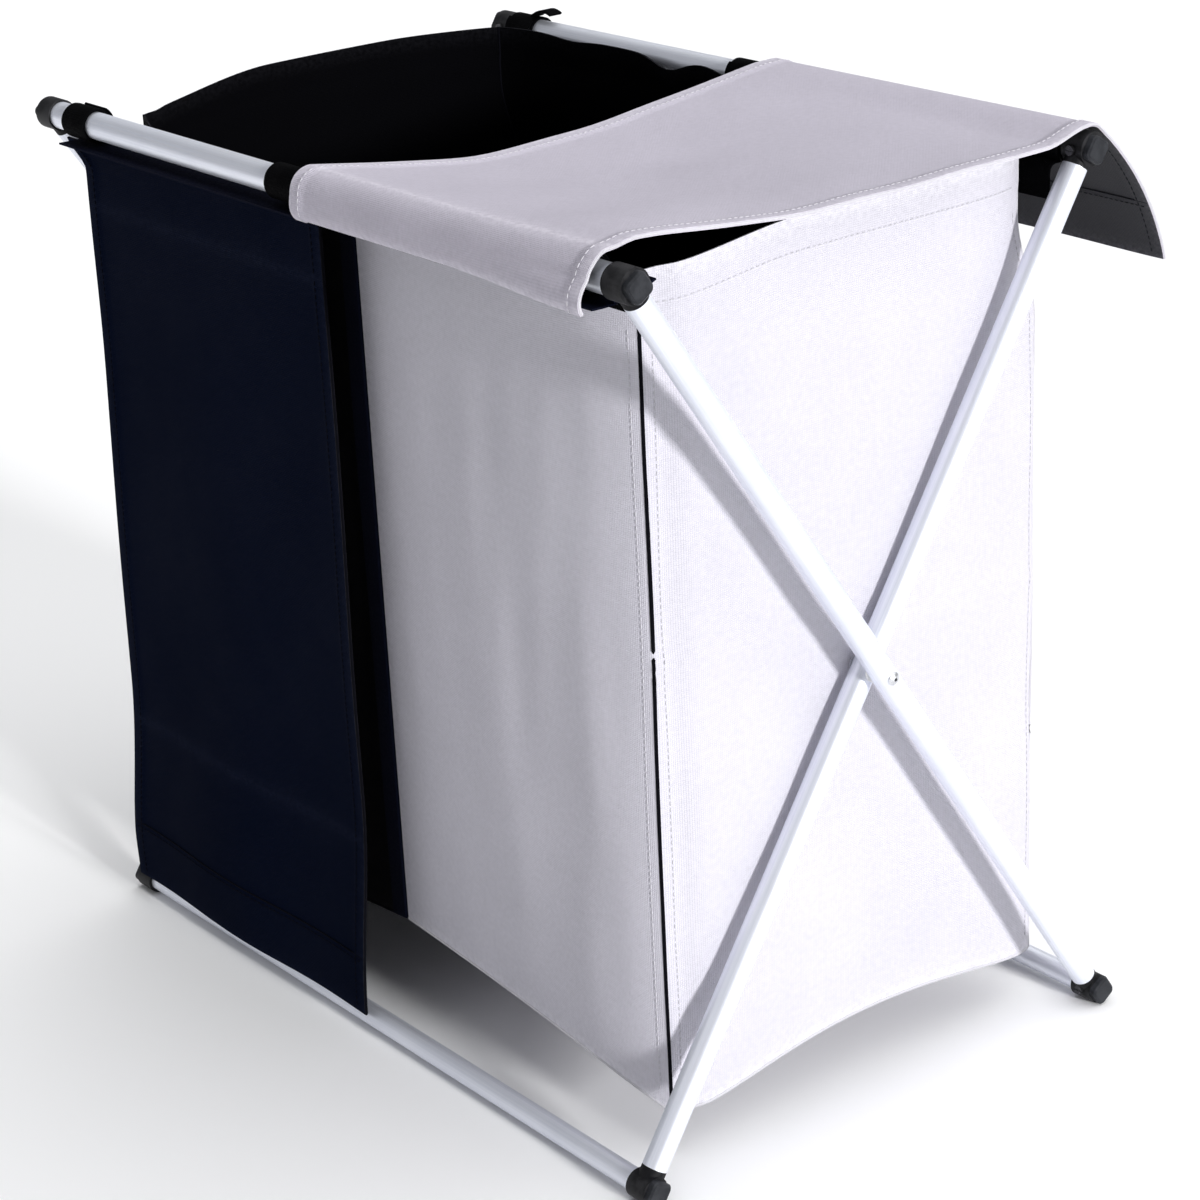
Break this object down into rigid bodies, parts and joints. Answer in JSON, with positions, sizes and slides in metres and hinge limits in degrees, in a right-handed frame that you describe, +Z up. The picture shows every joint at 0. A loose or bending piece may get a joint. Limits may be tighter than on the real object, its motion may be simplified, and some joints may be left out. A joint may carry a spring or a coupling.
{
  "type": "folding laundry hamper",
  "caption": "Folding X-frame laundry hamper: tube frames crossed on pivots, a fabric bag with two compartments and a sewn-on cloth lid over each.",
  "frame": {"origin": "on the floor under the pivot axis, midway between the two ends", "axes": "+X along the hamper's length to the right, -Y towards the front where the lids are sewn on, +Z up"},
  "size_m": [0.6234, 0.4511, 0.5906],
  "materials": {
    "tube": "satin anodised",
    "fitting": "moulded, fine grain",
    "end_cap": "moulded, satin",
    "screw": "black zinc plated",
    "rivet": "plain",
    "washer": "natural nylon",
    "strap": "woven strap, matt",
    "lid_cloth_light": "coated plain weave",
    "lid_cloth_dark": "coated plain weave",
    "bag_cloth_light": "coated plain weave",
    "bag_cloth_dark": "coated plain weave"
  },
  "bodies": {
    "outer_frame": {"top_front_rail": "tube", "bottom_rear_rail": "tube", "outer_leg_left": "tube", "outer_leg_right": "tube", "outer_fitting_top_left": "fitting", "outer_fitting_top_right": "fitting", "outer_fitting_bottom_left": "fitting", "outer_fitting_bottom_right": "fitting", "outer_end_caps": "end_cap", "outer_screws": "screw", "pivot_rivets": "rivet", "pivot_washers": "washer", "left_front_panel": "bag_cloth_dark", "left_rear_panel": "bag_cloth_dark", "left_end_panel": "bag_cloth_dark", "left_base_panel": "bag_cloth_dark", "centre_divider": "bag_cloth_dark", "right_front_panel": "bag_cloth_light", "right_rear_panel": "bag_cloth_light", "right_end_panel": "bag_cloth_light", "right_base_panel": "bag_cloth_light", "front_loop_left_outer": "strap", "front_loop_left_inner": "strap", "front_loop_right_inner": "strap", "front_loop_right_outer": "strap"},
    "inner_frame": {"top_rear_rail": "tube", "bottom_front_rail": "tube", "inner_leg_left": "tube", "inner_leg_right": "tube", "inner_fitting_top_left": "fitting", "inner_fitting_top_right": "fitting", "inner_fitting_bottom_left": "fitting", "inner_fitting_bottom_right": "fitting", "inner_end_caps": "end_cap", "inner_screws": "screw", "rear_loop_left_outer": "strap", "rear_loop_left_inner": "strap", "rear_loop_right_inner": "strap", "rear_loop_right_outer": "strap"},
    "right_lid_strip": {"right_lid_strip": "lid_cloth_light"},
    "right_lid_panel": {"right_lid_panel": "lid_cloth_light"},
    "right_lid_end": {"right_lid_end": "lid_cloth_light"},
    "left_lid_strip": {"left_lid_strip": "lid_cloth_dark"},
    "left_lid_panel": {"left_lid_panel": "lid_cloth_dark"},
    "left_lid_end": {"left_lid_end": "lid_cloth_dark"}
  },
  "joints": [
    {"name": "frame_fold", "type": "hinge", "parent": "outer_frame", "child": "inner_frame", "pos_m": [0, 0, 0.2926], "axis": [1, 0, 0], "range_deg": [0, 60], "deforming": ["left_front_panel", "left_rear_panel", "left_end_panel", "left_base_panel", "centre_divider", "right_front_panel", "right_rear_panel", "right_end_panel", "right_base_panel", "front_loop_left_outer", "front_loop_left_inner", "front_loop_right_inner", "front_loop_right_outer", "rear_loop_left_outer", "rear_loop_left_inner", "rear_loop_right_inner", "rear_loop_right_outer", "right_lid_strip", "right_lid_panel", "right_lid_end", "left_lid_strip", "left_lid_panel", "left_lid_end"]},
    {"name": "right_lid_lift", "type": "hinge", "parent": "outer_frame", "child": "right_lid_strip", "pos_m": [0, -0.193, 0.562], "axis": [-1, 0, 0], "range_deg": [-180, 0]},
    {"name": "right_lid_turn", "type": "hinge", "parent": "right_lid_strip", "child": "right_lid_panel", "pos_m": [0, -0.2, 0.59], "axis": [-1, 0, 0], "range_deg": [-90, 0]},
    {"name": "right_lid_droop", "type": "hinge", "parent": "right_lid_panel", "child": "right_lid_end", "pos_m": [0, 0.194, 0.59], "axis": [-1, 0, 0], "range_deg": [-60, 0]},
    {"name": "left_lid_lift", "type": "hinge", "parent": "outer_frame", "child": "left_lid_strip", "pos_m": [0, -0.193, 0.562], "axis": [1, 0, 0], "range_deg": [-180, 0]},
    {"name": "left_lid_turn", "type": "hinge", "parent": "left_lid_strip", "child": "left_lid_panel", "pos_m": [0, -0.186, 0.534], "axis": [1, 0, 0], "range_deg": [-90, 0]},
    {"name": "left_lid_droop", "type": "hinge", "parent": "left_lid_panel", "child": "left_lid_end", "pos_m": [0, -0.186, 0.14], "axis": [1, 0, 0], "range_deg": [-60, 0]}
  ],
  "couplings": [
    {"joint": "right_lid_turn", "follows": "right_lid_lift", "ratio": 0.5},
    {"joint": "right_lid_droop", "follows": "right_lid_lift", "ratio": 0.33333},
    {"joint": "left_lid_turn", "follows": "left_lid_lift", "ratio": 0.5},
    {"joint": "left_lid_droop", "follows": "left_lid_lift", "ratio": 0.33333}
  ]
}
